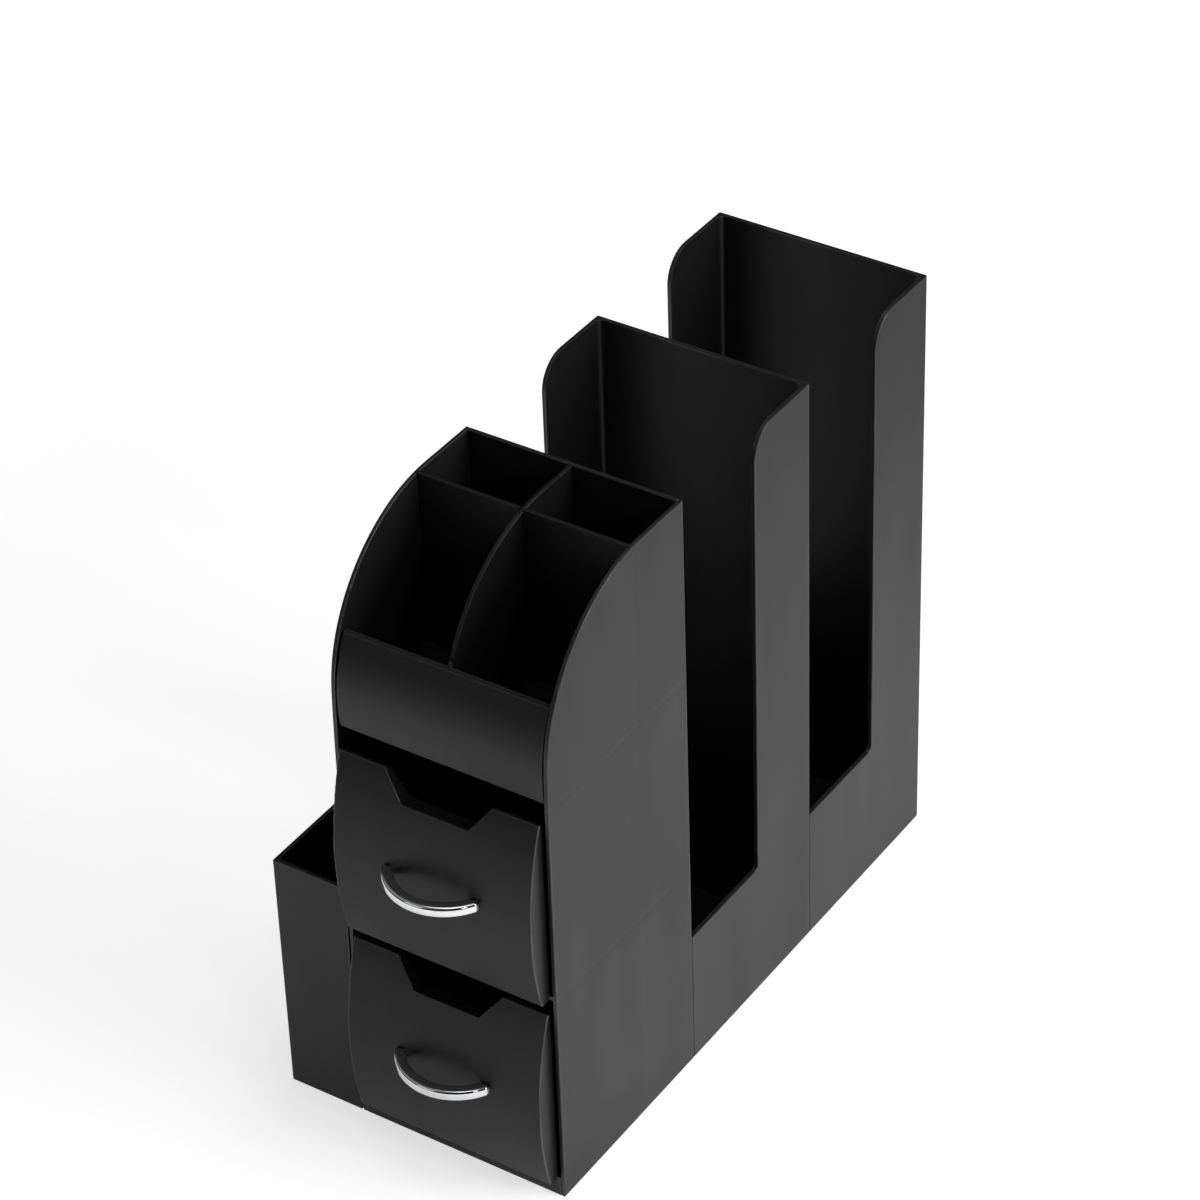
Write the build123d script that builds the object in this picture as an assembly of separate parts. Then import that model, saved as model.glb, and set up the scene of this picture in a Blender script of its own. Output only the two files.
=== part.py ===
from build123d import *
from math import asin, cos, pi, sin, sqrt
import os

# Counter organizer: a drawer cabinet, two tall bays behind it and a side box on its left.
# Millimetres. X to the right, Y to the rear, Z up.
# The origin is the centre of the flat underside of the cabinet and the two tall bays.

# Modules
height = 300.0               # cabinet and tall bays
cabinet_width = 106.0        # over the two side panels, and over each tall bay
cabinet_depth = 104.0        # front edge of the side panels to the back of the cabinet
bay_depth = 99.2             # each tall bay
wall = 2.0                   # side panels, back and bay walls
module_gap = 0.4             # hairline seam between two modules
edge_round = 0.5             # small round on the outside edges
rim_round = 0.4              # round on the rims of dividers, bays, box and trays
past = 1.0                   # how far a cut runs past the face it opens

# Brow of the side panels: a straight edge, a very slack arc, then the crown arc
brow_straight_top = 190.0    # height where the front edge starts to lean back
brow_lean_radius = 1000.0
crown_drop = 70.0            # the crown arc starts this far below the top

# Levels of the cabinet
plinth_height = 10.0         # floor of the lower drawer
plate = 2.0                  # thickness of base, shelf, compartment floor
drawer_gap = 8.0             # between the two drawer fronts
fascia_gap = 10.0            # between the upper drawer front and the fascia
front_drop = 0.5             # a drawer front reaches this far below its floor
shelf_setback = 1.5          # shelf's front edge behind the side panels' front edge
floor_rise = 0.5             # compartment floor above the fascia's lower edge

# Drawer fronts, which share the height between plinth and fascia
front_side_gap = 1.6         # drawer front to side panel
front_bulge = 10.6           # how far the bowed face stands out at its fullest
front_fullest = 40.0         # height of the fullest point above the front's lower edge
front_edge_thickness = 1.15  # at its thinner edge
front_shell = 2.0            # wall of the hollow front
notch_top_width = 53.0
notch_bottom_width = 33.0
notch_depth = 13.0
notch_round = 1.5
front_edge_round = 0.5

# Drawer trays
tray_side_gap = 2.0          # tray to side panel
tray_wall = 1.8
tray_floor = 2.0
tray_rear_gap = 4.0          # tray to the cabinet's back
tray_top_drop = 0.5          # tray rim below the front's top edge
tray_corner_round = 2.0
slide_clearance = 0.3        # between a drawer and what it slides past
drawer_travel = 80.0

# Drawer guides and stops
guide_height = 3.0
guide_thickness = 1.4
guide_setback = 15.0         # guide's front end behind the panels' front edge
stop_width = 10.0
stop_inset = 4.0             # stop to the tray's side
stop_tab_height = 4.0        # tab above the tray's rim
stop_overlap = 2.2           # how much a tab and a stop lug meet
stop_lug_depth = 3.0
stop_tab_root = 2.0          # tab below the tray's rim

# Handles
handle_radius = 26.4         # outside of the bow
handle_width = 5.5           # across the bar, seen from above
handle_thickness = 5.0
handle_rise = 6.7            # handle's middle above the front's fullest point
handle_centre_depth = 0.3    # bow's centre behind the cabinet's front edge
handle_edge = 0.8            # bevel along the bar
handle_seat_gap = 0.1        # handle's flat ends to the fullest point of the front

# Handle screws
screw_radius = 1.25
screw_reach = 4.0            # hole into the handle
screw_end_gap = 0.3          # screw's end to the end of its hole
screw_fit_gap = 0.05         # screw to the side of its hole
screw_head_radius = 2.6
screw_head_height = 1.8
screw_clearance = 0.25
screw_boss_wall = 2.2
screw_slot_width = 0.8       # cross recess in the head
screw_slot_length = 3.2
screw_slot_depth = 0.9

# Fascia
fascia_height = 43.5
fascia_top_drop = 44.0       # fascia's top edge below the panels' top
fascia_side_gap = 0.7
fascia_setback = 0.5         # fullest point behind the panels' front edge
fascia_fullest = 11.5        # height of the fullest point above the lower edge
fascia_radius = 70.0
fascia_thickness = 2.2
fascia_flange = 1.6          # thickness of its end flanges
fascia_flange_reach = 0.3    # end flanges' rear edge behind the inside of its top edge
fin_reach = 1.4              # centre fin's rear edge behind the end flanges

# Dividers
divider_thickness = 2.0
divider_setback = 5.0        # crown of the centre divider behind the panels' crown
fin_gap = 0.5                # fin to centre divider
cross_divider_place = 66.5   # middle of the cross divider behind the panels' front edge
groove_depth = 0.8           # divider ends in the panels
fit_gap = 0.15               # between parts that push together

# Tabs that lock plates and back into the side panels
tab_length = 12.0
tab_depth = 1.0
tab_end_gap = 0.2
tab_inset = 20.0             # middle of the end tabs from the ends of the panel
back_tab_thickness = 1.0     # tabs of the back, half its thickness

# Tall bays
cutout_height = 69.0         # lower edge of the side cut-outs
strip_width = 44.2           # upright part of the side wall behind the cut-out
shoulder_round = 15.0
cutout_corner_round = 3.0
front_lip_height = 60.0      # low front wall, riveted to the module before it
bay_floor = 2.0
bay_inner_round = 3.0

# Side box
box_width = 37.9
box_rim_rise = 14.5          # its rim above the upper drawer's floor
box_gap = 0.6                # to the left side panel
box_inner_round = 2.0

# Push rivets
rivet_radius = 2.0
rivet_hole_gap = 0.2
rivet_head_radius = 4.0
rivet_head_height = 1.2
rivet_tip_radius = 2.7
rivet_tip_length = 2.0
bay_rivet_spread = 70.0      # side to side
bay_rivet_low = 22.0
bay_rivet_high = 48.0
box_rivet_spread = 56.0      # front to back

# Places worked out from the sizes above
total_depth = cabinet_depth + 2 * (module_gap + bay_depth)
front_y = -total_depth / 2
cabinet_back_y = front_y + cabinet_depth
middle_bay_y = cabinet_back_y + module_gap
rear_bay_y = middle_bay_y + bay_depth + module_gap
side_x = cabinet_width / 2
inner_x = side_x - wall
fascia_top_z = height - fascia_top_drop
fascia_z = fascia_top_z - fascia_height
front_height = (fascia_z - fascia_gap - drawer_gap - plinth_height + front_drop) / 2
lower_floor_z = plinth_height
upper_floor_z = plinth_height + front_height + drawer_gap
box_height = upper_floor_z + box_rim_rise
fascia_fullest_z = fascia_z + fascia_fullest
fascia_centre_y = front_y + fascia_setback + fascia_radius
floor_z = fascia_z + floor_rise
floor_top_z = floor_z + plate
front_width = 2 * (inner_x - front_side_gap)
tray_width = 2 * (inner_x - tray_side_gap)
tray_front_y = front_y - slide_clearance
tray_back_y = cabinet_back_y - wall - tray_rear_gap
stop_lug_back_y = tray_back_y - tray_wall - drawer_travel - slide_clearance
stop_tab_back_y = cabinet_back_y - wall - slide_clearance
box_right_x = -side_x - box_gap
handle_centre_y = front_y + handle_centre_depth
handle_seat_y = front_y - front_bulge - handle_seat_gap
rivet_hole_radius = rivet_radius + rivet_hole_gap

# Bow of a drawer front: the arc through its fullest point and its farther edge
bow_rise = max(front_fullest, front_height - front_fullest)
bow_depth = front_bulge - front_edge_thickness - slide_clearance
front_bow_radius = (bow_rise ** 2 + bow_depth ** 2) / (2 * bow_depth)


def fascia_face_y(z, depth):
    """Y of the fascia's bowed face at height z, or of the surface at a depth behind it."""
    return fascia_centre_y - sqrt((fascia_radius - depth) ** 2 - (z - fascia_fullest_z) ** 2)


flange_back_y = fascia_face_y(fascia_top_z, fascia_thickness) + fascia_flange_reach
fin_back_y = flange_back_y + fin_reach


def block(x0, x1, y0, y1, z0, z1):
    """A box given by its two ends along X, Y and Z."""
    centre = ((x0 + x1) / 2, (y0 + y1) / 2, (z0 + z1) / 2)
    return Pos(*centre) * Box(x1 - x0, y1 - y0, z1 - z0)


def along_x(outline, x0, x1):
    """Push a face drawn in the YZ plane from x0 to x1."""
    return Pos(x0, 0, 0) * extrude(Plane.YZ * outline, amount=x1 - x0)


def rod_y(radius, x, z, y0, y1):
    """A round bar along Y."""
    return Pos(x, (y0 + y1) / 2, z) * Rot(90, 0, 0) * Cylinder(radius, y1 - y0)


def rod_x(radius, y, z, x0, x1):
    """A round bar along X."""
    return Pos((x0 + x1) / 2, y, z) * Rot(0, 90, 0) * Cylinder(radius, x1 - x0)


def brow_outline(setback):
    """Side view of a panel: flat top, crown arc and leaning front edge, moved back by setback."""
    edge_y = front_y + setback
    join_z = height - crown_drop
    lean = asin((join_z - brow_straight_top) / brow_lean_radius)
    join_y = edge_y + brow_lean_radius * (1 - cos(lean))
    crown_radius = crown_drop / (1 - sin(lean))
    crown_y = join_y + crown_radius * cos(lean)
    crown_z = height - crown_radius

    def lean_point(angle):
        y = edge_y + brow_lean_radius * (1 - cos(angle))
        return (y, brow_straight_top + brow_lean_radius * sin(angle))

    def crown_point(angle):
        return (crown_y - crown_radius * cos(angle), crown_z + crown_radius * sin(angle))

    edges = [
        Line((cabinet_back_y, 0), (edge_y, 0)),
        Line((edge_y, 0), (edge_y, brow_straight_top)),
        ThreePointArc((edge_y, brow_straight_top), lean_point(lean / 2), (join_y, join_z)),
        ThreePointArc((join_y, join_z), crown_point((lean + pi / 2) / 2), (crown_y, height)),
        Line((crown_y, height), (cabinet_back_y, height)),
        Line((cabinet_back_y, height), (cabinet_back_y, 0)),
    ]
    return make_face(edges)


def plate_levels():
    """Lower face of each plate that locks into the side panels."""
    return [plinth_height - plate, upper_floor_z - plate, floor_z]


def tab_blocks(grow):
    """Tabs of plates and back on the right side, grown by grow for their pockets."""
    reach = inner_x + tab_depth + (tab_end_gap if grow else 0)
    tabs = []
    for low_z in plate_levels():
        for y in (front_y + tab_inset, cabinet_back_y - wall - tab_inset):
            y0 = y - tab_length / 2 - grow
            y1 = y + tab_length / 2 + grow
            tabs.append(block(inner_x - tab_depth, reach, y0, y1, low_z - grow, low_z + plate + grow))
    for z in (tab_inset, height / 2, height - tab_inset):
        z0 = z - tab_length / 2 - grow
        z1 = z + tab_length / 2 + grow
        y0 = cabinet_back_y - (wall + back_tab_thickness) / 2 - grow
        y1 = cabinet_back_y - (wall - back_tab_thickness) / 2 + grow
        tabs.append(block(inner_x - tab_depth, reach, y0, y1, z0, z1))
    return tabs


def long_rims(shape):
    """Edges of a plate's two broad faces, left and right."""
    faces = shape.faces().sort_by(Axis.X)
    return faces[0].edges() + faces[-1].edges()


def both_sides(shape):
    """The shape and its mirror image, left to right."""
    return [shape, mirror(shape, about=Plane.YZ)]


def groove(z1):
    """Room for the cross divider's right end, from the compartment floor up to z1."""
    y = front_y + cross_divider_place
    half = divider_thickness / 2 + fit_gap
    return block(inner_x - past, inner_x + groove_depth, y - half, y + half, floor_top_z, z1)


def side_panel():
    """Right side panel, with pockets for the tabs and a groove for the cross divider."""
    panel = along_x(brow_outline(0), inner_x, side_x)
    panel = fillet(panel.faces().sort_by(Axis.X)[-1].edges(), edge_round)
    panel = fillet(panel.faces().sort_by(Axis.X)[0].edges(), rim_round)
    for pocket in tab_blocks(fit_gap) + [fascia_tabs(fit_gap)]:
        panel -= pocket
    return panel - groove(height + past)


def left_side_panel():
    """Mirror image of the right panel, with holes for the side box rivets."""
    panel = mirror(side_panel(), about=Plane.YZ)
    for y, z in box_rivet_places():
        panel -= rod_x(rivet_hole_radius, y, z, -side_x - past, -inner_x + past)
    return panel


def cabinet_back():
    """Back wall between the side panels, with holes for the rivets of the first tall bay."""
    back = block(-inner_x + fit_gap, inner_x - fit_gap, cabinet_back_y - wall, cabinet_back_y, 0, height)
    for tab in tab_blocks(0)[2 * len(plate_levels()):]:
        for piece in both_sides(tab):
            back += piece
    half = divider_thickness / 2 + fit_gap
    y0 = cabinet_back_y - wall
    back -= block(-half, half, y0 - past, y0 + groove_depth, floor_top_z, height + past)
    for x, z in bay_rivet_places():
        back -= rod_y(rivet_hole_radius, x, z, y0 - past, cabinet_back_y + past)
    return back


def add_guides(body, top_z):
    """Two low fences that keep a drawer straight."""
    x0 = tray_width / 2 + slide_clearance
    y1 = cabinet_back_y - wall - fit_gap
    guide = block(x0, x0 + guide_thickness, front_y + guide_setback, y1, top_z, top_z + guide_height)
    for piece in both_sides(guide):
        body += piece
    return body


def add_stop_lugs(body, under_z, rim_z):
    """Two lugs that hang from a plate and catch the tabs of the drawer below it."""
    x1 = tray_width / 2 - stop_inset
    low_z = rim_z + stop_tab_height - stop_overlap
    lug = block(x1 - stop_width, x1, stop_lug_back_y - stop_lug_depth, stop_lug_back_y, low_z, under_z)
    for piece in both_sides(lug):
        body += piece
    return body


def add_plate_tabs(body, level):
    """Two tabs on each side of a plate."""
    for tab in tab_blocks(0)[2 * level:2 * level + 2]:
        for piece in both_sides(tab):
            body += piece
    return body


def cabinet_base():
    """Plinth: the lower drawer's floor on a skirt that stands on the counter."""
    x = inner_x - fit_gap
    y1 = cabinet_back_y - wall - fit_gap
    base = block(-x, x, front_y, y1, 0, plinth_height)
    base -= block(-x + wall, x - wall, front_y + wall, y1 - wall, -past, plinth_height - plate)
    base = add_guides(base, plinth_height)
    return add_plate_tabs(base, 0)


def drawer_shelf():
    """Floor of the upper drawer, with the lower drawer's stop lugs under it."""
    x = inner_x - fit_gap
    y1 = cabinet_back_y - wall - fit_gap
    shelf = block(-x, x, front_y + shelf_setback, y1, upper_floor_z - plate, upper_floor_z)
    shelf = add_guides(shelf, upper_floor_z)
    shelf = add_stop_lugs(shelf, upper_floor_z - plate, tray_rim_z(lower_floor_z))
    return add_plate_tabs(shelf, 1)


def compartment_floor():
    """Floor of the four compartments, with the upper drawer's stop lugs under it."""
    x = inner_x - fit_gap
    y0 = fascia_face_y(floor_z, fascia_thickness) + fit_gap
    floor = block(-x, x, y0, cabinet_back_y - wall - fit_gap, floor_z, floor_top_z)
    floor = add_stop_lugs(floor, floor_z, tray_rim_z(upper_floor_z))
    return add_plate_tabs(floor, 2)


def fascia_section(depth, low_z, back_y):
    """Side view of the room between the bowed face, or a surface inside it, and back_y, above low_z."""
    middle_z = (low_z + fascia_top_z) / 2
    low = (fascia_face_y(low_z, depth), low_z)
    high = (fascia_face_y(fascia_top_z, depth), fascia_top_z)
    edges = [
        ThreePointArc(low, (fascia_face_y(middle_z, depth), middle_z), high),
        Line(high, (back_y, fascia_top_z)),
        Line((back_y, fascia_top_z), (back_y, low_z)),
        Line((back_y, low_z), low),
    ]
    return make_face(edges)


def fascia_tabs(grow):
    """Tabs on the fascia's ends, right side, grown by grow for their pockets."""
    y = (fascia_face_y(fascia_fullest_z, fascia_thickness) + flange_back_y) / 2
    reach = inner_x + tab_depth + (tab_end_gap if grow else 0)
    root = inner_x - fascia_side_gap - fascia_flange / 2
    half_y = plate / 2 + grow
    half_z = tab_length / 2 + grow
    low_z = fascia_fullest_z - half_z
    return block(root, reach, y - half_y, y + half_y, low_z, fascia_fullest_z + half_z)


def fascia():
    """Bowed front of the compartments, with end flanges, end tabs and the centre fin."""
    x = inner_x - fascia_side_gap
    above_floor = floor_top_z + fit_gap
    shell = along_x(fascia_section(0, fascia_z, flange_back_y), -x, x)
    shell = fillet(shell.faces().sort_by(Axis.Y)[0].edges(), edge_round)
    shell -= along_x(fascia_section(fascia_thickness, fascia_z, flange_back_y), -x, x)
    flange = along_x(fascia_section(fascia_thickness, above_floor, flange_back_y), x - fascia_flange, x)
    for piece in both_sides(flange) + both_sides(fascia_tabs(0)):
        shell += piece
    half = divider_thickness / 2
    shell += along_x(fascia_section(fascia_thickness / 2, above_floor, fin_back_y), -half, half)
    fin_top = along_x(brow_outline(divider_setback), -half, half)
    fin_top = fillet(long_rims(fin_top), rim_round)
    fin_top &= block(-half, half, front_y, fin_back_y, fascia_top_z - fascia_thickness, height)
    return shell + fin_top


def cross_divider():
    """Side-to-side divider, slotted from the top for the centre divider."""
    x = inner_x + groove_depth - fit_gap
    y = front_y + cross_divider_place
    half = divider_thickness / 2
    divider = block(-x, x, y - half, y + half, floor_top_z, height)
    divider = fillet(divider.edges().filter_by(Axis.X).group_by(Axis.Z)[-1], rim_round)
    lap_z = (floor_top_z + height) / 2
    slot = block(-half - fit_gap, half + fit_gap, y - half - past, y + half + past, lap_z, height + past)
    return divider - slot


def centre_divider():
    """Front-to-back divider, slotted from below for the cross divider."""
    half = divider_thickness / 2
    back_y = cabinet_back_y - wall + groove_depth - fit_gap
    divider = along_x(brow_outline(divider_setback), -half, half)
    divider = fillet(long_rims(divider), rim_round)
    divider &= block(-half, half, fin_back_y + fin_gap, back_y, floor_top_z, height)
    y = front_y + cross_divider_place
    lap_z = (floor_top_z + height) / 2
    y0 = y - half - fit_gap
    y1 = y + half + fit_gap
    return divider - block(-half - past, half + past, y0, y1, floor_top_z - past, lap_z + fit_gap)


def bay_rivet_places():
    """X and Z of the rivets between two modules."""
    half = bay_rivet_spread / 2
    return [(x, z) for x in (-half, half) for z in (bay_rivet_low, bay_rivet_high)]


def box_rivet_places():
    """Y and Z of the rivets between side box and cabinet, level with the gap over the lower drawer."""
    z = (tray_rim_z(lower_floor_z) + upper_floor_z - plate) / 2
    middle = front_y + cabinet_depth / 2
    return [(middle + side * box_rivet_spread / 2, z) for side in (-1, 1)]


def bay_outline(y0):
    """Side view of a tall bay: low in front of the strip, with a round inner corner and a round shoulder."""
    y1 = y0 + bay_depth
    strip_y = y1 - strip_width
    front = [(y0, cutout_height), (y0, 0)]
    rear = [(y1, 0), (y1, height)]
    strip = [(strip_y, height), (strip_y, cutout_height)]
    face = make_face(Polyline(*front, *rear, *strip, close=True))
    face = fillet(face.vertices().sort_by_distance((strip_y, height))[0], shoulder_round)
    return fillet(face.vertices().sort_by_distance((strip_y, cutout_height))[0], cutout_corner_round)


def tall_bay(y0, last):
    """Tall open-topped bay: back, two L-shaped sides, floor and a low front lip."""
    y1 = y0 + bay_depth
    bay = along_x(bay_outline(y0), -side_x, side_x)
    bay = fillet(long_rims(bay), edge_round)
    room = block(-inner_x, inner_x, y0 + wall, y1 - wall, bay_floor, height + past)
    bay -= fillet(room.edges().filter_by(Axis.Z), bay_inner_round)
    front = block(-inner_x, inner_x, y0 - past, y0 + wall + bay_inner_round, front_lip_height, height + past)
    bay -= front
    for x, z in bay_rivet_places():
        bay -= rod_y(rivet_hole_radius, x, z, y0 - past, y0 + wall + past)
        if not last:
            bay -= rod_y(rivet_hole_radius, x, z, y1 - wall - past, y1 + past)
    return bay


def side_box():
    """Low open-top box riveted to the left side panel."""
    x1 = box_right_x
    x0 = x1 - box_width
    box = block(x0, x1, front_y, cabinet_back_y, 0, box_height)
    box = fillet(box.edges().filter_by(Axis.Z), edge_round)
    top_z = box_height + past
    room = block(x0 + wall, x1 - wall, front_y + wall, cabinet_back_y - wall, bay_floor, top_z)
    box -= fillet(room.edges().filter_by(Axis.Z), box_inner_round)
    box = fillet(box.faces().sort_by(Axis.Z)[-1].edges(), rim_round)
    for y, z in box_rivet_places():
        box -= rod_x(rivet_hole_radius, y, z, x1 - wall - past, x1 + past)
    return box


def push_rivet(grip):
    """Push rivet along +Z, its head's underside at the origin, through walls of total thickness grip."""
    shank_length = grip + rivet_tip_length
    shank = Pos(0, 0, shank_length / 2) * Cylinder(rivet_radius, shank_length)
    head = Pos(0, 0, -rivet_head_height / 2) * Cylinder(rivet_head_radius, rivet_head_height)
    head = fillet(head.edges().sort_by(Axis.Z)[0], rivet_head_height / 2)
    tip = Pos(0, 0, grip + rivet_tip_length / 2) * Cone(rivet_tip_radius, rivet_radius, rivet_tip_length)
    return shank + head + tip


def module_rivets(bay_y):
    """Four rivets through a bay's front lip and the wall before it, heads inside the bay."""
    rivet = push_rivet(2 * wall + module_gap)
    return [Pos(x, bay_y + wall, z) * Rot(90, 0, 0) * rivet for x, z in bay_rivet_places()]


def side_box_rivets():
    """Two rivets through the side box and the left panel, heads inside the box."""
    rivet = push_rivet(2 * wall + box_gap)
    return [Pos(box_right_x - wall, y, z) * Rot(0, 90, 0) * rivet for y, z in box_rivet_places()]


def tray_rim_z(drawer_floor_z):
    """Top of a drawer tray's walls."""
    return drawer_floor_z - front_drop + front_height - tray_top_drop


def notch_prism(drawer_floor_z, grow):
    """Trapezoid finger notch through a drawer front and its tray, grown by grow."""
    top_z = drawer_floor_z - front_drop + front_height
    low_z = top_z - notch_depth
    slope = (notch_top_width - notch_bottom_width) / 2 / notch_depth
    widen = grow * sqrt(1 + slope ** 2)
    low_half = notch_bottom_width / 2 - slope * grow + widen
    high_half = notch_top_width / 2 + slope * past + widen
    low = [(-low_half, low_z - grow), (low_half, low_z - grow)]
    high = [(high_half, top_z + past), (-high_half, top_z + past)]
    face = make_face(Polyline(*low, *high, close=True))
    face = fillet(face.vertices().group_by(Axis.Y)[0], notch_round)
    start_y = tray_front_y + tray_wall + past
    end_y = front_y - front_bulge - past
    from_behind = Plane(origin=(0, start_y, 0), x_dir=(1, 0, 0), z_dir=(0, -1, 0))
    return extrude(from_behind * face, start_y - end_y)


def bow_section(drawer_floor_z, inset):
    """Side view of a drawer front, its bowed face and its ends moved inwards by inset."""
    low_z = drawer_floor_z - front_drop
    centre_y = front_y - front_bulge + front_bow_radius
    bow = Pos(centre_y, low_z + front_fullest) * Circle(front_bow_radius - inset)
    depth = front_bulge + past
    room = Rectangle(depth, front_height - 2 * inset)
    return Pos(tray_front_y - depth / 2, low_z + front_height / 2) * room & bow


def bow_half_width(radius, y):
    """Half width of a circle round the handle's centre, at a place in front of it."""
    return sqrt(radius ** 2 - (handle_centre_y - y) ** 2)


def handle_screw_places(drawer_floor_z):
    """X and Z of the two screws of a handle, each with the same metal on both sides of its hole."""
    inner = bow_half_width(handle_radius - handle_width, handle_seat_y)
    outer = bow_half_width(handle_radius, handle_seat_y - screw_reach)
    x = (inner + outer) / 2
    z = drawer_floor_z - front_drop + front_fullest + handle_rise
    return [(-x, z), (x, z)]


def drawer_front(drawer_floor_z):
    """Hollow bowed front with a notch, and a boss round each handle screw."""
    half = front_width / 2
    front = along_x(bow_section(drawer_floor_z, 0), -half, half)
    front -= notch_prism(drawer_floor_z, 0)
    front = fillet(front.faces().sort_by(Axis.Y)[0].edges(), front_edge_round)
    hollow = along_x(bow_section(drawer_floor_z, front_shell), -half + front_shell, half - front_shell)
    hollow -= notch_prism(drawer_floor_z, front_shell)
    far_y = front_y - front_bulge - past
    hole_radius = screw_radius + screw_clearance
    for x, z in handle_screw_places(drawer_floor_z):
        hollow -= rod_y(hole_radius + screw_boss_wall, x, z, far_y, tray_front_y + past)
        front -= rod_y(hole_radius, x, z, far_y, tray_front_y + past)
    return front - hollow


def drawer_tray(drawer_floor_z):
    """Open-top tray with the same notch, and two tabs on its rear wall that stop it at both ends."""
    half = tray_width / 2
    low_z = drawer_floor_z + slide_clearance
    rim_z = tray_rim_z(drawer_floor_z)
    tray = block(-half, half, tray_front_y, tray_back_y, low_z, rim_z)
    tray = fillet(tray.edges().filter_by(Axis.Z).sort_by(Axis.Y)[-2:], tray_corner_round)
    x = half - tray_wall
    y0 = tray_front_y + tray_wall
    y1 = tray_back_y - tray_wall
    room = block(-x, x, y0, y1, low_z + tray_floor, rim_z + past)
    tray -= fillet(room.edges().filter_by(Axis.Z), tray_corner_round)
    tray = fillet(tray.faces().sort_by(Axis.Z)[-1].edges(), rim_round)
    x1 = half - stop_inset
    tab = block(x1 - stop_width, x1, y1, stop_tab_back_y, rim_z - stop_tab_root, rim_z + stop_tab_height)
    for piece in both_sides(tab):
        tray += piece
    tray -= notch_prism(drawer_floor_z, 0)
    for x, z in handle_screw_places(drawer_floor_z):
        tray -= rod_y(screw_radius + screw_clearance, x, z, tray_front_y - past, y0 + past)
    return tray


def handle(drawer_floor_z):
    """Chrome bow: an arc of bevelled bar, flat at its ends, with a blind hole in each end."""
    places = handle_screw_places(drawer_floor_z)
    middle_z = places[0][1]
    ring = Cylinder(handle_radius, handle_thickness)
    ring -= Cylinder(handle_radius - handle_width, handle_thickness)
    ring = chamfer(ring.edges().filter_by(GeomType.CIRCLE), handle_edge)
    bow = Pos(0, handle_centre_y, middle_z) * ring
    span = handle_radius + past
    half = handle_thickness / 2 + past
    bow &= block(-span, span, handle_centre_y - span, handle_seat_y, middle_z - half, middle_z + half)
    for x, z in places:
        bow -= rod_y(screw_radius + screw_fit_gap, x, z, handle_seat_y - screw_reach, handle_seat_y + past)
    return bow


def handle_screws(drawer_floor_z):
    """Two pan-head screws from inside the tray into the handle's ends, each with a cross recess."""
    tip_y = handle_seat_y - screw_reach + screw_end_gap
    head_y = tray_front_y + tray_wall
    top_y = head_y + screw_head_height
    wide = screw_slot_length / 2
    thin = screw_slot_width / 2
    screws = []
    for x, z in handle_screw_places(drawer_floor_z):
        screw = rod_y(screw_head_radius, x, z, head_y, top_y)
        screw = fillet(screw.edges().sort_by(Axis.Y)[-1], screw_head_height / 3)
        screw += rod_y(screw_radius, x, z, tip_y, head_y)
        for half_x, half_z in ((wide, thin), (thin, wide)):
            y0 = top_y - screw_slot_depth
            screw -= block(x - half_x, x + half_x, y0, top_y + past, z - half_z, z + half_z)
        screws.append(screw)
    return screws


def write(name, shape):
    """Write one node."""
    if isinstance(shape, list):
        shape = Compound(children=shape)
    shape.label = name
    export_step(shape, "parts/" + name + ".step")


def write_drawer(level, drawer_floor_z):
    """Write the four nodes of one drawer."""
    write(level + "_drawer_front", drawer_front(drawer_floor_z))
    write(level + "_drawer_tray", drawer_tray(drawer_floor_z))
    write(level + "_drawer_handle", handle(drawer_floor_z))
    write(level + "_handle_screws", handle_screws(drawer_floor_z))


os.makedirs("parts", exist_ok=True)
write("right_side_panel", side_panel())
write("left_side_panel", left_side_panel())
write("cabinet_back", cabinet_back())
write("cabinet_base", cabinet_base())
write("drawer_shelf", drawer_shelf())
write("compartment_floor", compartment_floor())
write("fascia", fascia())
write("cross_divider", cross_divider())
write("centre_divider", centre_divider())
write("middle_tall_bay", tall_bay(middle_bay_y, last=False))
write("rear_tall_bay", tall_bay(rear_bay_y, last=True))
write("side_box", side_box())
write("cabinet_to_bay_rivets", module_rivets(middle_bay_y))
write("bay_to_bay_rivets", module_rivets(rear_bay_y))
write("side_box_rivets", side_box_rivets())
write_drawer("lower", lower_floor_z)
write_drawer("upper", upper_floor_z)
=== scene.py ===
import math

import bpy
from mathutils import Matrix, Vector


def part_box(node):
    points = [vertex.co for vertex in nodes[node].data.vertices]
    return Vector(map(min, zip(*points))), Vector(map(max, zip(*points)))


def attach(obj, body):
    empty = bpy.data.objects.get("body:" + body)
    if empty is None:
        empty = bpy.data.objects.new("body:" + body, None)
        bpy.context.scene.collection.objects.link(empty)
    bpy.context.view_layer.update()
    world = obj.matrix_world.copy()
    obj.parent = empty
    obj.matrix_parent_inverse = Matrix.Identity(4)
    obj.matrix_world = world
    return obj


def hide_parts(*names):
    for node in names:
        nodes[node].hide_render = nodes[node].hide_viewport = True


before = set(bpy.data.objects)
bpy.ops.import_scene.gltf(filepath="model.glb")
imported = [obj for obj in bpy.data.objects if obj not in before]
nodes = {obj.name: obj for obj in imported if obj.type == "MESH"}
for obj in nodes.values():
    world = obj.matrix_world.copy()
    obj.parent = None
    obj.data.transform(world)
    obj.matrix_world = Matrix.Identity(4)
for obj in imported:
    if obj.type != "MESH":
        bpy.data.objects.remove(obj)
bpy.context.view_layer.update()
mm = 0.001
levels = ("lower", "upper")
print("frame loaded:", len(nodes), "nodes")


# Mesh helpers

touching = 0.001 * mm


def deselectAll():
    if bpy.context.object and bpy.context.object.mode != "OBJECT":
        bpy.ops.object.mode_set(mode="OBJECT")
    bpy.ops.object.select_all(action="DESELECT")


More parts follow.
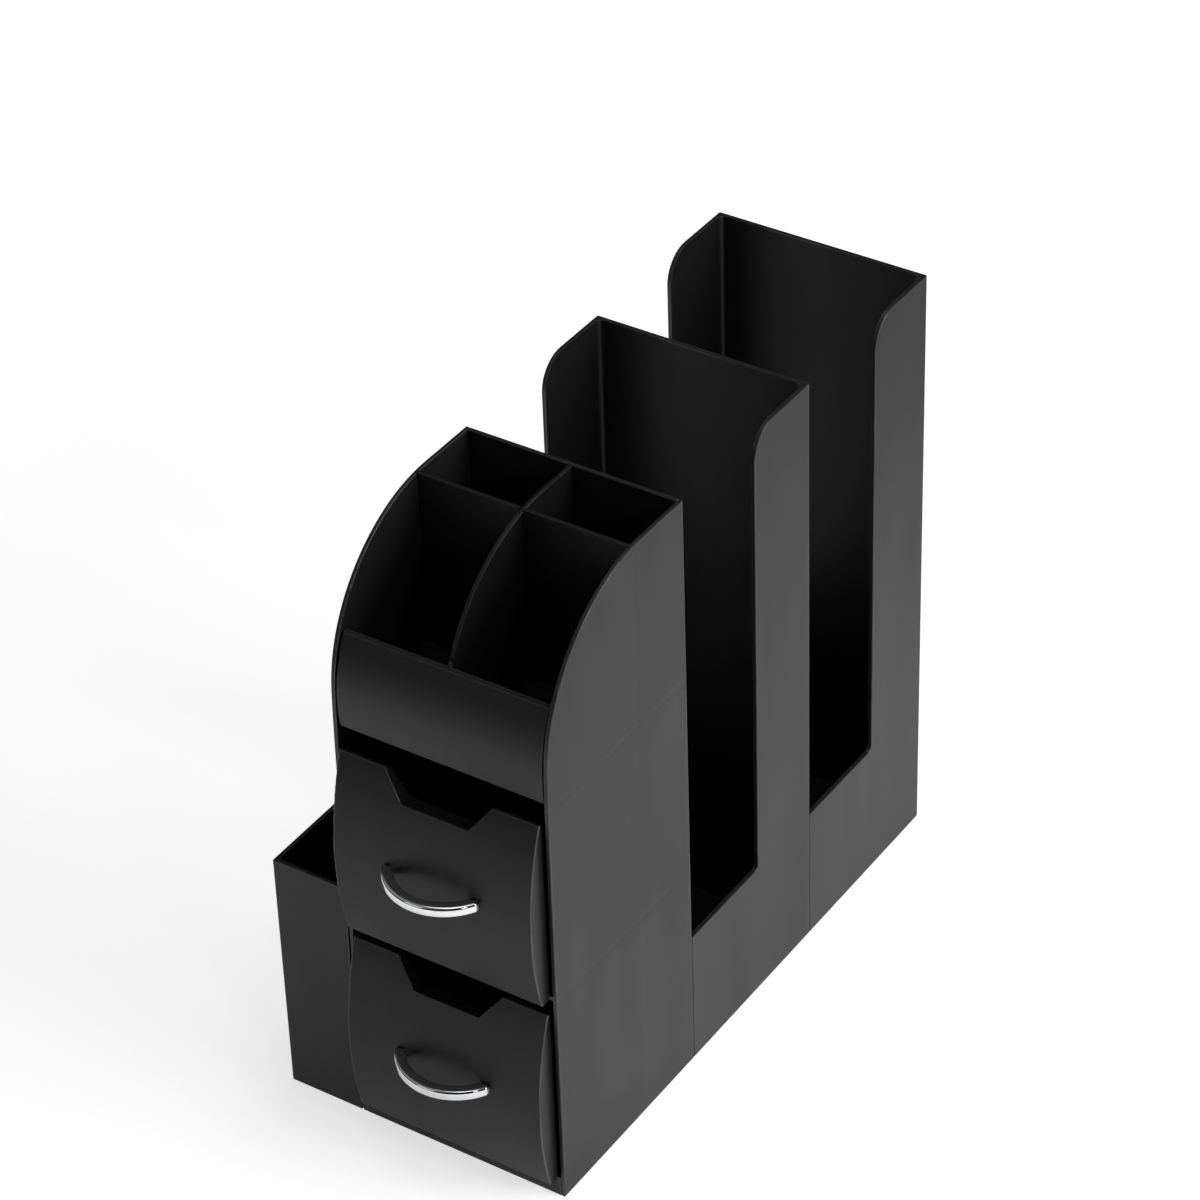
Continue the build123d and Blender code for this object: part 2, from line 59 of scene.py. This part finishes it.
def closeShell():
    # merges what touches, then turns every face outwards
    bpy.ops.mesh.select_all(action="SELECT")
    bpy.ops.mesh.remove_doubles(threshold=touching)
    bpy.ops.mesh.normals_make_consistent(inside=False)


def bakeModifiers(piece):
    for modifier in list(piece.modifiers):
        bpy.ops.object.modifier_apply(modifier=modifier.name)


# Node helpers

def newMaterial(name):
    material = bpy.data.materials.new(name)
    material.use_nodes = True
    return material, material.node_tree, material.node_tree.nodes["Principled BSDF"]


def addNode(tree, kind, values=None, **settings):
    node = tree.nodes.new("ShaderNode" + kind)
    for setting, value in settings.items():
        setattr(node, setting, value)
    for socket, value in (values or {}).items():
        feed(tree, value, node.inputs[socket])
    return node


def feed(tree, value, socket):
    # a socket takes either another node's output or a plain number, vector or colour
    if isinstance(value, bpy.types.NodeSocket):
        tree.links.new(value, socket)
    else:
        socket.default_value = value


def calc(tree, operation, *values, clamp=False):
    node = addNode(tree, "Math", operation=operation, use_clamp=clamp)
    for socket, value in zip(node.inputs, values):
        feed(tree, value, socket)
    return node.outputs[0]


def mixShares(tree, *shares):
    # sum of the outputs, each times its share
    parts = [calc(tree, "MULTIPLY", output, share) for output, share in shares]
    total = parts[0]
    for part in parts[1:]:
        total = calc(tree, "ADD", total, part)
    return total


def remap(tree, value, ends, newEnds=(0.0, 1.0), curve="LINEAR"):
    sockets = {"Value": value, "From Min": ends[0], "From Max": ends[1],
               "To Min": newEnds[0], "To Max": newEnds[1]}
    return addNode(tree, "MapRange", sockets, interpolation_type=curve).outputs[0]


def easeInto(tree, value, ends, newEnds=(0.0, 1.0)):
    return remap(tree, value, ends, newEnds, curve="SMOOTHSTEP")


def blendColour(tree, factor, first, second):
    node = addNode(tree, "Mix", {0: factor}, data_type="RGBA")
    for socket, value in zip(node.inputs[6:8], (first, second)):
        feed(tree, value, socket)
    return node.outputs[2]


def rgba(grey, tint=(1, 1, 1)):
    return (grey * tint[0], grey * tint[1], grey * tint[2], 1)


def objectPlace(tree):
    return addNode(tree, "TexCoord").outputs["Object"]


def facingOf(tree):
    return addNode(tree, "TexCoord").outputs["Normal"]


def splitAxes(tree, vector):
    return addNode(tree, "SeparateXYZ", {"Vector": vector}).outputs


def addNoise(tree, place, scale, **shape):
    return addNode(tree, "TexNoise", {"Vector": place, "Scale": scale, **shape}).outputs[0]


def drawOut(tree, place, turn, stretch):
    # place squeezed along the way that the marks run, then turned
    return addNode(tree, "Mapping", {"Vector": place, "Rotation": turn, "Scale": stretch}).outputs[0]


def newGroup(name, inputs, outputs):
    # inputs: the kind of socket for each label; outputs: labels of plain numbers
    group = bpy.data.node_groups.new(name, "ShaderNodeTree")
    for label, kind in inputs.items():
        group.interface.new_socket(name=label, in_out="INPUT", socket_type="NodeSocket" + kind)
    for label in outputs:
        group.interface.new_socket(name=label, in_out="OUTPUT", socket_type="NodeSocketFloat")
    given = group.nodes.new("NodeGroupInput").outputs
    result = group.nodes.new("NodeGroupOutput").inputs
    return group, given, result


def useGroup(tree, group, **values):
    node = addNode(tree, "Group", node_tree=group)
    for label, value in values.items():
        feed(tree, value, node.inputs[label])
    return node.outputs


# Shared effects: each pair says where an effect starts and where it is complete

sparkPits = {"height": (0.25, 0.60), "fleck": (0.35, 0.65)}


def makeSparkGrain():
    # fine spark-eroded mould texture: rounded pits with a finer roughness on them
    group, given, result = newGroup("sparkGrain", {"Place": "Vector", "Fineness": "Float"},
                                    ("Height", "Fleck"))
    lumps = addNoise(group, given["Place"], given["Fineness"], Detail=2.0, Roughness=0.7)
    feed(group, easeInto(group, lumps, sparkPits["height"]), result["Height"])
    feed(group, remap(group, lumps, sparkPits["fleck"]), result["Fleck"])
    return group


flow = {"cloud": (0.3, 0.7), "streak": (0.32, 0.68), "streaksPerCloud": 4.0,
        "turn": (0.0, 0.55, 0.0), "stretch": (1.0, 1.0, 0.16)}


def makeFlowCloud():
    # slow changes of gloss where the melt filled the mould, drawn out along the flow
    group, given, result = newGroup("flowCloud", {"Place": "Vector", "Size": "Float"},
                                    ("Cloud", "Streak"))
    cloud = addNoise(group, given["Place"], given["Size"], Detail=2.0, Roughness=0.5, Distortion=0.4)
    drawn = drawOut(group, given["Place"], flow["turn"], flow["stretch"])
    fineness = calc(group, "MULTIPLY", given["Size"], flow["streaksPerCloud"])
    streak = addNoise(group, drawn, fineness, Detail=2.0, Roughness=0.55)
    feed(group, easeInto(group, cloud, flow["cloud"]), result["Cloud"])
    feed(group, easeInto(group, streak, flow["streak"]), result["Streak"])
    return group


def makeSinkMark():
    # shallow dip in a moulded wall, opposite a floor or divider that meets it
    group, given, result = newGroup(
        "sinkMark", {"Coordinate": "Float", "Middle": "Float", "Reach": "Float"}, ("Dip",))
    away = calc(group, "ABSOLUTE", calc(group, "SUBTRACT", given["Coordinate"], given["Middle"]))
    share = calc(group, "DIVIDE", away, given["Reach"])
    feed(group, easeInto(group, share, (0.0, 1.0), (1.0, 0.0)), result["Dip"])
    return group


# settings of the edge mask, which lightens the plastics' colour along outer edges as a painted highlight,
# and glosses them
paintedHighlight = {"width": 1.2 * mm, "samples": 2, "bend": (0.985, 0.85), "patches": 90.0,
       "uneven": (0.3, 0.6), "least": 0.45}


def makeEdgeHighlightMask():
    # finds outer edges by comparing a rounded normal with the face's own; the plastics paint a highlight
    # along them
    group, given, result = newGroup("edgeHighlightMask", {"Place": "Vector"}, ("Edge",))
    rounded = addNode(group, "Bevel", {"Radius": paintedHighlight["width"]}, samples=paintedHighlight["samples"])
    own = addNode(group, "NewGeometry")
    alike = addNode(group, "VectorMath", {0: rounded.outputs[0], 1: own.outputs["Normal"]},
                    operation="DOT_PRODUCT")
    edge = easeInto(group, alike.outputs["Value"], paintedHighlight["bend"])
    patches = addNoise(group, given["Place"], paintedHighlight["patches"], Detail=3.0)
    uneven = remap(group, patches, paintedHighlight["uneven"], (paintedHighlight["least"], 1.0))
    feed(group, calc(group, "MULTIPLY", edge, uneven, clamp=True), result["Edge"])
    return group


handling = {"top": (0.42, 0.60), "topEnd": (0.90, 0.98), "side": (0.15, 0.45), "sideEnd": (0.80, 0.95),
            "front": (-0.3, -0.1), "patches": 70.0, "uneven": (0.3, 0.6), "least": 0.5}


def makeHandledEdges():
    # rounded edges of a drawer front, polished by handling: found by the way the surface faces
    group, given, result = newGroup("handledEdges", {"Facing": "Vector", "Place": "Vector"},
                                    ("Polish",))
    facing = splitAxes(group, given["Facing"])
    upward = facing["Z"]
    sideways = calc(group, "ABSOLUTE", facing["X"])
    top = calc(group, "MULTIPLY", remap(group, upward, handling["top"]),
               remap(group, upward, handling["topEnd"], (1.0, 0.0)))
    side = calc(group, "MULTIPLY", remap(group, sideways, handling["side"]),
                remap(group, sideways, handling["sideEnd"], (1.0, 0.0)))
    outward = remap(group, facing["Y"], handling["front"], (1.0, 0.0))
    polish = calc(group, "MULTIPLY", calc(group, "MAXIMUM", top, side), outward)
    patches = addNoise(group, given["Place"], handling["patches"], Detail=2.0)
    uneven = remap(group, patches, handling["uneven"], (handling["least"], 1.0))
    feed(group, calc(group, "MULTIPLY", polish, uneven), result["Polish"])
    return group


hairlines = {"turn": (0.2, 0.1, 0.5), "stretch": (0.05, 1.0, 1.0), "scratch": (0.62, 0.72),
             "hazePatches": 120.0, "haze": (0.4, 0.7)}


def makePolishMarks():
    # hairline scratches and a faint haze on bare or plated metal
    group, given, result = newGroup("polishMarks", {"Place": "Vector", "Density": "Float"},
                                    ("Scratch", "Haze"))
    drawn = drawOut(group, given["Place"], hairlines["turn"], hairlines["stretch"])
    lines = addNoise(group, drawn, given["Density"], Detail=2.0)
    haze = addNoise(group, given["Place"], hairlines["hazePatches"], Detail=3.0)
    feed(group, easeInto(group, lines, hairlines["scratch"]), result["Scratch"])
    feed(group, easeInto(group, haze, hairlines["haze"]), result["Haze"])
    return group


sparkGrain = makeSparkGrain()
flowCloud = makeFlowCloud()
sinkMark = makeSinkMark()
edgeHighlightMask = makeEdgeHighlightMask()
handledEdges = makeHandledEdges()
polishMarks = makePolishMarks()
print("shared effects made")


# Black moulded plastic, in linear greys
# deep is the pigment, sheen its paler skin, shine how strongly it mirrors, the edge grey a painted
# highlight along outer edges, wear the gloss of that edge, polish the gloss from handling; grainDepth is
# in millimetres

panelFinish = {"deep": 0.0092, "sheen": 0.0138, "shine": 0.36, "rough": (0.42, 0.48),
               "grain": 1900.0, "grainDepth": 0.020, "cloudSize": 13.0, "paintedHighlight": 0.120, "wear": 1.0}
# the bays' copy of the panel plastic: its darker pigment and skin are painted shade for their insides, and
# its higher shine keeps their outsides as bright
bayShadedFinish = {**panelFinish, "deep": 0.0058, "sheen": 0.0095, "shine": 0.41, "cloudSize": 9.0}
boxFinish = {**panelFinish, "deep": 0.0085, "sheen": 0.0130, "shine": 0.32, "cloudSize": 9.0}
frontFinish = {"deep": 0.0085, "sheen": 0.0135, "shine": 0.28, "rough": (0.34, 0.42),
               "grain": 2300.0, "grainDepth": 0.016, "cloudSize": 18.0, "paintedHighlight": 0.090}
drawerFinish = {**frontFinish, "shine": 0.25, "polish": 1.0}
# the fascia's copy of the front plastic: its paler skin is painted light that brightens it, and it has
# more shine
fasciaBrightenedFinish = {**frontFinish, "sheen": 0.0155, "shine": 0.33}
dividerFinish = {"deep": 0.0060, "sheen": 0.0095, "shine": 0.26, "rough": (0.42, 0.52),
                 "grain": 2300.0, "grainDepth": 0.016, "cloudSize": 20.0, "paintedHighlight": 0.045}
trayFinish = {"deep": 0.0065, "sheen": 0.0090, "shine": 0.26, "rough": (0.43, 0.49),
              "grain": 1600.0, "grainDepth": 0.016, "cloudSize": 16.0, "paintedHighlight": 0.040}
rivetFinish = {"deep": 0.0110, "sheen": 0.0160, "shine": 0.50, "rough": (0.28, 0.36),
               "grain": 3000.0, "grainDepth": 0.010, "cloudSize": 60.0, "paintedHighlight": 0.060}

# what all the plastics share; the shares say how much each effect counts
plastic = {"refraction": 1.5, "sheenTint": (1.0, 1.0, 1.03), "paintedHighlightTint": (1.0, 1.0, 1.05),
           "cloudShare": 0.55, "streakShare": 0.25, "fleckShare": 0.20, "paintedHighlightShare": 0.55,
           "glossShare": 0.5, "rubSmoother": 0.06, "leastDip": 0.35,
           "wornCoat": 0.18, "handledCoat": 0.22}


def blackPlastic(name, finish, marks=()):
    # marks: axis, middle and reach in metres, and depth in millimetres, of each sink mark
    material, tree, shader = newMaterial(name)
    place = objectPlace(tree)
    axes = splitAxes(tree, place)
    grain = useGroup(tree, sparkGrain, Place=place, Fineness=finish["grain"])
    clouds = useGroup(tree, flowCloud, Place=place, Size=finish["cloudSize"])
    edge = useGroup(tree, edgeHighlightMask, Place=place)["Edge"]

    tone = mixShares(tree, (clouds["Cloud"], plastic["cloudShare"]),
                     (clouds["Streak"], plastic["streakShare"]), (grain["Fleck"], plastic["fleckShare"]))
    skin = blendColour(tree, tone, rgba(finish["deep"]), rgba(finish["sheen"], plastic["sheenTint"]))
    # outer edges are lightened towards a paler grey: a painted highlight
    paintedHighlightMix = calc(tree, "MULTIPLY", edge, plastic["paintedHighlightShare"])
    highlightedSkin = blendColour(tree, paintedHighlightMix, skin, rgba(finish["paintedHighlight"], plastic["paintedHighlightTint"]))
    feed(tree, highlightedSkin, shader.inputs["Base Color"])

    smooth, matte = finish["rough"]
    gloss = mixShares(tree, (clouds["Streak"], plastic["glossShare"]),
                      (clouds["Cloud"], plastic["glossShare"]))
    smoother = calc(tree, "MULTIPLY", edge, plastic["rubSmoother"])
    roughness = calc(tree, "SUBTRACT", remap(tree, gloss, (0.0, 1.0), (matte, smooth)), smoother)
    feed(tree, roughness, shader.inputs["Roughness"])

    # relief in millimetres: the grain, less the sink marks, which are uneven along their length
    relief = calc(tree, "MULTIPLY", grain["Height"], finish["grainDepth"])
    uneven = remap(tree, clouds["Cloud"], (0.0, 1.0), (plastic["leastDip"], 1.0))
    for axis, middle, reach, depth in marks:
        dip = useGroup(tree, sinkMark, Coordinate=axes[axis], Middle=middle, Reach=reach)["Dip"]
        sunk = calc(tree, "MULTIPLY", calc(tree, "MULTIPLY", dip, depth), uneven)
        relief = calc(tree, "SUBTRACT", relief, sunk)
    bump = addNode(tree, "Bump", {"Strength": 1.0, "Distance": mm, "Height": relief})
    feed(tree, bump.outputs[0], shader.inputs["Normal"])
    shader.inputs["IOR"].default_value = plastic["refraction"]
    shader.inputs["Specular IOR Level"].default_value = finish["shine"]

    if "wear" in finish:
        feed(tree, calc(tree, "MULTIPLY", edge, finish["wear"]), shader.inputs["Coat Weight"])
        shader.inputs["Coat Roughness"].default_value = plastic["wornCoat"]
    if "polish" in finish:
        polish = useGroup(tree, handledEdges, Facing=facingOf(tree), Place=place)["Polish"]
        feed(tree, calc(tree, "MULTIPLY", polish, finish["polish"]), shader.inputs["Coat Weight"])
        shader.inputs["Coat Roughness"].default_value = plastic["handledCoat"]
    return material


def dress(material, *names):
    for name in names:
        for slot in nodes[name].material_slots:
            slot.material = material


sinks = {"reach": 3.2 * mm, "floorDepth": 0.09, "dividerDepth": 0.045}


def sinkOpposite(name, axis, depth):
    # mark on a wall, opposite the middle of the plate that meets it
    low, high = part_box(name)
    place = "XYZ".index(axis)
    return axis, (low[place] + high[place]) / 2, sinks["reach"], depth


panelMarks = [sinkOpposite("compartment_floor", "Z", sinks["floorDepth"]),
              sinkOpposite("drawer_shelf", "Z", sinks["floorDepth"]),
              sinkOpposite("cross_divider", "Y", sinks["dividerDepth"])]

dress(blackPlastic("sidePanelPlastic", panelFinish, panelMarks), "right_side_panel", "left_side_panel")
dress(blackPlastic("cabinetPlastic", panelFinish), "cabinet_back", "cabinet_base", "drawer_shelf")
dress(blackPlastic("bayShadedPlastic", bayShadedFinish), "middle_tall_bay", "rear_tall_bay")
dress(blackPlastic("boxPlastic", boxFinish), "side_box")
dress(blackPlastic("fasciaBrightenedPlastic", fasciaBrightenedFinish), "fascia")
dress(blackPlastic("drawerFrontPlastic", drawerFinish), "lower_drawer_front", "upper_drawer_front")
dress(blackPlastic("dividerPlastic", dividerFinish),
      "cross_divider", "centre_divider", "compartment_floor")
dress(blackPlastic("trayPlastic", trayFinish), "lower_drawer_tray", "upper_drawer_tray")
dress(blackPlastic("rivetPlastic", rivetFinish),
      "cabinet_to_bay_rivets", "bay_to_bay_rivets", "side_box_rivets")
print("plastics dressed")


# Metal: scratches per metre, depths in millimetres

chromeFinish = {"plate": (0.78, 0.785, 0.80, 1), "hazy": (0.70, 0.705, 0.72, 1), "metal": 0.96,
                "rough": (0.07, 0.14), "hazeShare": 0.6, "scratchShare": 0.4,
                "scratches": 520.0, "scratchDepth": 0.004, "relief": 0.25,
                "unpolished": (0.92, 0.98), "dullness": 0.5}


def chromePlate():
    material, tree, shader = newMaterial("chromePlate")
    marks = useGroup(tree, polishMarks, Place=objectPlace(tree), Density=chromeFinish["scratches"])
    plate = blendColour(tree, marks["Haze"], chromeFinish["plate"], chromeFinish["hazy"])
    feed(tree, plate, shader.inputs["Base Color"])
    spread = mixShares(tree, (marks["Haze"], chromeFinish["hazeShare"]),
                       (marks["Scratch"], chromeFinish["scratchShare"]))
    # the sides of the feet are too hard to reach for polishing, and stay dull
    sideways = calc(tree, "ABSOLUTE", splitAxes(tree, facingOf(tree))["X"])
    dull = remap(tree, sideways, chromeFinish["unpolished"], (0.0, chromeFinish["dullness"]))
    roughness = calc(tree, "ADD", remap(tree, spread, (0.0, 1.0), chromeFinish["rough"]), dull)
    feed(tree, roughness, shader.inputs["Roughness"])
    bump = addNode(tree, "Bump", {"Strength": chromeFinish["relief"], "Height": marks["Scratch"],
                                  "Distance": chromeFinish["scratchDepth"] * mm}, invert=True)
    feed(tree, bump.outputs[0], shader.inputs["Normal"])
    shader.inputs["Metallic"].default_value = chromeFinish["metal"]
    return material


steelFinish = {"bright": (0.55, 0.55, 0.56, 1), "dark": (0.36, 0.36, 0.37, 1), "metal": 1.0,
               "rough": (0.26, 0.42), "scratches": 1500.0, "grain": 3500.0, "grainDepth": 0.012,
               "relief": 0.4}


def screwSteel():
    material, tree, shader = newMaterial("screwSteel")
    place = objectPlace(tree)
    marks = useGroup(tree, polishMarks, Place=place, Density=steelFinish["scratches"])
    grain = useGroup(tree, sparkGrain, Place=place, Fineness=steelFinish["grain"])
    tone = blendColour(tree, marks["Haze"], steelFinish["bright"], steelFinish["dark"])
    feed(tree, tone, shader.inputs["Base Color"])
    roughness = remap(tree, grain["Fleck"], (0.0, 1.0), steelFinish["rough"])
    feed(tree, roughness, shader.inputs["Roughness"])
    bump = addNode(tree, "Bump", {"Strength": steelFinish["relief"], "Height": grain["Height"],
                                  "Distance": steelFinish["grainDepth"] * mm})
    feed(tree, bump.outputs[0], shader.inputs["Normal"])
    shader.inputs["Metallic"].default_value = steelFinish["metal"]
    return material


chrome = chromePlate()
dress(screwSteel(), "lower_handle_screws", "upper_handle_screws")
print("metals made")


# Chrome bow handle: a flat bar with softened edges, bent to an arc, with short straight feet

handleShape = {"barWidth": 5.5 * mm, "barDepth": 5.0 * mm, "edge": 1.45 * mm, "edgeSteps": 6,
               "turns": 40, "foot": 1.6 * mm, "footEdge": 0.18 * mm, "footSteps": 2,
               "merge": 0.01 * mm, "bevelFrom": math.radians(28), "smoothTo": math.radians(35)}


def drawSection(centre, middleRadius):
    # section of the bar at its foremost point, as a closed loop with rounded corners
    deselectAll()
    bpy.ops.mesh.primitive_plane_add(size=1, location=centre - Vector((0, middleRadius, 0)),
                                     rotation=(0, math.pi / 2, 0))
    bpy.context.object.name = "lowerBowHandle"
    bpy.ops.object.mode_set(mode="EDIT")
    bpy.ops.transform.resize(value=(1, handleShape["barWidth"], handleShape["barDepth"]))
    bpy.ops.mesh.bevel(offset=handleShape["edge"], segments=handleShape["edgeSteps"], affect="VERTICES")
    bpy.ops.mesh.delete(type="ONLY_FACE")
    return bpy.context.object


def bendRightHalf(centre, sweep, seatY):
    # turns the loop round the bow's centre, then draws it straight back to the seat
    bpy.ops.mesh.select_all(action="SELECT")
    bpy.ops.mesh.spin(steps=handleShape["turns"], angle=sweep, center=centre, axis=(0, 0, 1))
    bpy.ops.mesh.extrude_region_move(TRANSFORM_OT_translate={"value": (0, handleShape["foot"], 0)})
    bpy.ops.transform.resize(value=(1, 0, 1), center_override=(0, seatY, centre.z))
    bpy.ops.mesh.edge_face_add()
    bpy.ops.object.mode_set(mode="OBJECT")
    bpy.ops.object.transform_apply(location=True, rotation=True, scale=True)


def mirrorHalf(handle):
    mirror = handle.modifiers.new("leftHalf", "MIRROR")
    mirror.use_clip = True
    mirror.merge_threshold = handleShape["merge"]
    bakeModifiers(handle)
    bpy.ops.object.mode_set(mode="EDIT")
    closeShell()
    bpy.ops.object.mode_set(mode="OBJECT")


def softenFeet(handle):
    soften = handle.modifiers.new("footEdges", "BEVEL")
    soften.width = handleShape["footEdge"]
    soften.segments = handleShape["footSteps"]
    soften.limit_method = "ANGLE"
    soften.angle_limit = handleShape["bevelFrom"]
    bakeModifiers(handle)


def bowHandle():
    low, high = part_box("lower_drawer_handle")
    # the bow's outer arc runs from foot to foot through the foremost point
    rise = high.y - handleShape["foot"] - low.y
    outerRadius = (high.x ** 2 + rise ** 2) / (2 * rise)
    centre = Vector((0, low.y + outerRadius, (low.z + high.z) / 2))
    handle = drawSection(centre, outerRadius - handleShape["barWidth"] / 2)
    bendRightHalf(centre, math.asin(high.x / outerRadius), high.y)
    mirrorHalf(handle)
    softenFeet(handle)
    bpy.ops.object.shade_smooth_by_angle(angle=handleShape["smoothTo"])
    handle.data.materials.append(chrome)
    return handle


def raiseCopy(piece, name, rise):
    deselectAll()
    piece.select_set(True)
    bpy.context.view_layer.objects.active = piece
    bpy.ops.object.duplicate(linked=False)
    copy = bpy.context.object
    copy.name = name
    bpy.ops.transform.translate(value=(0, 0, rise))
    bpy.ops.object.transform_apply(location=True, rotation=False, scale=False)
    return copy


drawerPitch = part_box("upper_drawer_handle")[0].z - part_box("lower_drawer_handle")[0].z
lowerHandle = bowHandle()
upperHandle = raiseCopy(lowerHandle, "upperBowHandle", drawerPitch)
for level, handle in zip(levels, (lowerHandle, upperHandle)):
    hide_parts(f"{level}_drawer_handle")
    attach(handle, f"{level}_drawer")
print("handles made")


# Studio: white sheet and surround, broad lamps above, right and front, and a small one for the edges

sheet = {"size": 8.0, "white": 0.85, "mottle": 6.0, "mottleWhite": 1.01, "lift": 0.66,
         "shadeMiddle": (-0.08, -0.20, 0.0), "shadeReach": (0.04, 0.24), "shade": 0.6,
         "farReach": (0.48, 0.86), "farShare": 0.2, "lampReach": (0.5, 2.5)}


def mirroredRays(tree, rays):
    return calc(tree, "MAXIMUM", rays["Is Glossy Ray"], rays["Is Transmission Ray"])


def floorMaterial():
    material, tree, shader = newMaterial("studioFloor")
    output = tree.nodes["Material Output"]
    tree.nodes.remove(shader)
    place = objectPlace(tree)
    mottle = addNoise(tree, place, sheet["mottle"], Detail=2.0)
    colour = blendColour(tree, mottle, rgba(sheet["white"]), rgba(sheet["white"] * sheet["mottleWhite"]))
    diffuse = addNode(tree, "BsdfDiffuse", {"Color": colour})
    # mirrored in the plastic, the sheet is shaded in front of the object and falls off further out
    fromShade = addNode(tree, "VectorMath", {0: place, 1: sheet["shadeMiddle"]},
                        operation="DISTANCE").outputs["Value"]
    near = easeInto(tree, fromShade, sheet["shadeReach"], (sheet["shade"], 1.0))
    far = easeInto(tree, fromShade, sheet["farReach"], (1.0, sheet["farShare"]))
    rays = addNode(tree, "LightPath").outputs
    mirrored = calc(tree, "MULTIPLY", mirroredRays(tree, rays), calc(tree, "MULTIPLY", near, far))
    mirrorLevel = calc(tree, "MULTIPLY", mirrored, sheet["lift"])
    # the camera sees the sheet stay white where the lamps no longer reach
    away = addNode(tree, "VectorMath", {0: place}, operation="LENGTH").outputs["Value"]
    direct = calc(tree, "MULTIPLY", rays["Is Camera Ray"],
                  remap(tree, away, sheet["lampReach"], (sheet["lift"], 1.0)))
    lift = addNode(tree, "Emission", {"Strength": calc(tree, "MAXIMUM", direct, mirrorLevel)})
    both = addNode(tree, "AddShader", {0: diffuse.outputs[0], 1: lift.outputs[0]})
    tree.links.new(both.outputs[0], output.inputs["Surface"])
    return material


def layFloor():
    deselectAll()
    bpy.ops.mesh.primitive_plane_add(size=sheet["size"], location=(0, 0, 0))
    floor = bpy.context.object
    floor.name = "studioFloorSheet"
    floor.data.materials.append(floorMaterial())


surround = {"backdrop": 0.95, "sideShare": 0.8, "behind": (-0.1, 0.6), "top": (0.42, 0.92),
            "room": 0.13, "fillShare": 0.75,
            "panel": 4.0, "panelLean": 0.6, "panelEdge": (0.70, 0.80), "panelBack": (0.25, 0.45)}


def lightWorld():
    world = bpy.data.worlds.new("studioWorld")
    bpy.context.scene.world = world
    world.use_nodes = True
    tree = world.node_tree
    background = tree.nodes["Background"]
    # white backdrop behind and to the right, fading upwards; the room in front and above is dim
    towards = splitAxes(tree, addNode(tree, "TexCoord").outputs["Generated"])
    behind = calc(tree, "ADD", towards["Y"], calc(tree, "MULTIPLY", towards["X"], surround["sideShare"]))
    backdrop = calc(tree, "MULTIPLY", easeInto(tree, behind, surround["behind"]),
                    easeInto(tree, towards["Z"], surround["top"], (1.0, 0.0)))
    shade = remap(tree, backdrop, (0.0, 1.0), (surround["room"], surround["backdrop"]))
    # a long light panel over the left side and the front, which lines the upper edges
    lean = calc(tree, "MULTIPLY", towards["X"], surround["panelLean"])
    leftUp = calc(tree, "SUBTRACT", towards["Z"], lean)
    panel = calc(tree, "MULTIPLY", easeInto(tree, leftUp, surround["panelEdge"]),
                 easeInto(tree, towards["Y"], surround["panelBack"], (1.0, 0.0)))
    mirror = calc(tree, "ADD", shade, calc(tree, "MULTIPLY", panel, surround["panel"]))
    rays = addNode(tree, "LightPath").outputs
    fill = calc(tree, "MULTIPLY", shade, surround["fillShare"])
    seen = addNode(tree, "Mix", {0: mirroredRays(tree, rays), 2: fill, 3: mirror}, data_type="FLOAT")
    white = addNode(tree, "Mix", {0: rays["Is Camera Ray"], 2: seen.outputs[0], 3: 1.0},
                    data_type="FLOAT")
    feed(tree, white.outputs[0], background.inputs["Strength"])


softLamps = (
    {"name": "topLamp", "place": (0.2, 0.3, 2.3), "aim": (0.0, 0.0, 0.1), "size": 1.6, "power": 15.0},
    {"name": "rightLamp", "place": (2.1, 0.3, 1.2), "aim": (0.0, 0.0, 0.12), "size": 1.4, "power": 34.0},
    {"name": "sparkLamp", "place": (1.5, -1.0, 1.2), "aim": (0.0, -0.1, 0.12), "size": 0.25, "power": 1.6},
    {"name": "frontLamp", "place": (-0.9, -2.2, 1.2), "aim": (0.0, -0.1, 0.12), "size": 1.2, "power": 3.0},
)


def hangLamps():
    for lamp in softLamps:
        deselectAll()
        bpy.ops.object.light_add(type="AREA", location=lamp["place"])
        light = bpy.context.object
        light.name = lamp["name"]
        light.data.energy = lamp["power"]
        light.data.size = lamp["size"]
        reach = Vector(lamp["aim"]) - Vector(lamp["place"])
        light.rotation_euler = reach.to_track_quat("-Z", "Y").to_euler()


camera = {"place": (0.8356, -1.2614, 1.2980), "azimuth": 34.191, "elevation": 35.926, "roll": -2.010,
          "lens": 130.68, "sensor": 36.0, "farthest": 100}


def setCamera():
    deselectAll()
    bpy.ops.object.camera_add()
    eye = bpy.context.object
    eye.name = "photoCamera"
    turn = Matrix.Rotation(math.radians(camera["azimuth"]), 4, "Z")
    tilt = Matrix.Rotation(math.radians(90 - camera["elevation"]), 4, "X")
    roll = Matrix.Rotation(math.radians(camera["roll"]), 4, "Z")
    eye.matrix_world = Matrix.Translation(camera["place"]) @ turn @ tilt @ roll
    eye.data.lens = camera["lens"]
    eye.data.sensor_width = camera["sensor"]
    eye.data.clip_end = camera["farthest"]
    bpy.context.scene.camera = eye


layFloor()
lightWorld()
hangLamps()
setCamera()
bpy.context.scene.view_settings.view_transform = "Standard"
print("studio set")
